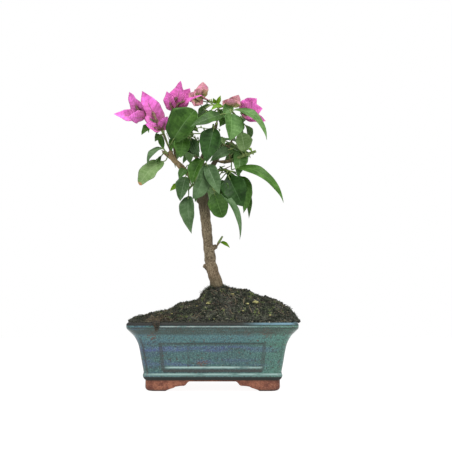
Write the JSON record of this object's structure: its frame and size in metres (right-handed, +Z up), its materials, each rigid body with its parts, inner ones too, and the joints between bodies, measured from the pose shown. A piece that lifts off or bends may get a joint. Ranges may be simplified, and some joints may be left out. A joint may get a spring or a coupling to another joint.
{
  "type": "bougainvillea bonsai in a glazed pot",
  "caption": "Small flowering bougainvillea trained as a bonsai, leaning trunk and open leafy crown, in a rectangular glazed ceramic pot on scrolled feet.",
  "frame": {"origin": "bottom centre of the object's box, on the table under the pot's feet", "axes": "+Z up along the plant, +X to the viewer's right along the pot's long side, +Y away from the viewer"},
  "size_m": [0.1652, 0.118, 0.2785],
  "materials": {
    "glazed_pot": "blue-green glaze, unglazed clay feet",
    "soil": "dark mossy potting soil",
    "bark": "grey-brown bark",
    "leaves": "satin green leaves",
    "blossom": "papery magenta bracts"
  },
  "bodies": {
    "root": {"pot": "glazed_pot", "soil": "soil", "trunk": "bark", "bough_left": "bark", "bough_right": "bark", "bough_leader": "bark", "bough_back": "bark", "foliage_left_low": "leaves", "foliage_left_high": "blossom", "foliage_top_left": "leaves", "foliage_top": "blossom", "foliage_right_high": "leaves", "foliage_right": "leaves", "foliage_centre": "leaves", "foliage_centre_low": "leaves", "foliage_right_low": "leaves", "foliage_left_bottom": "leaves", "foliage_back_left": "leaves", "foliage_back_right": "leaves", "foliage_back_low": "leaves", "trunk_sprout": "leaves"}
  },
  "joints": []
}
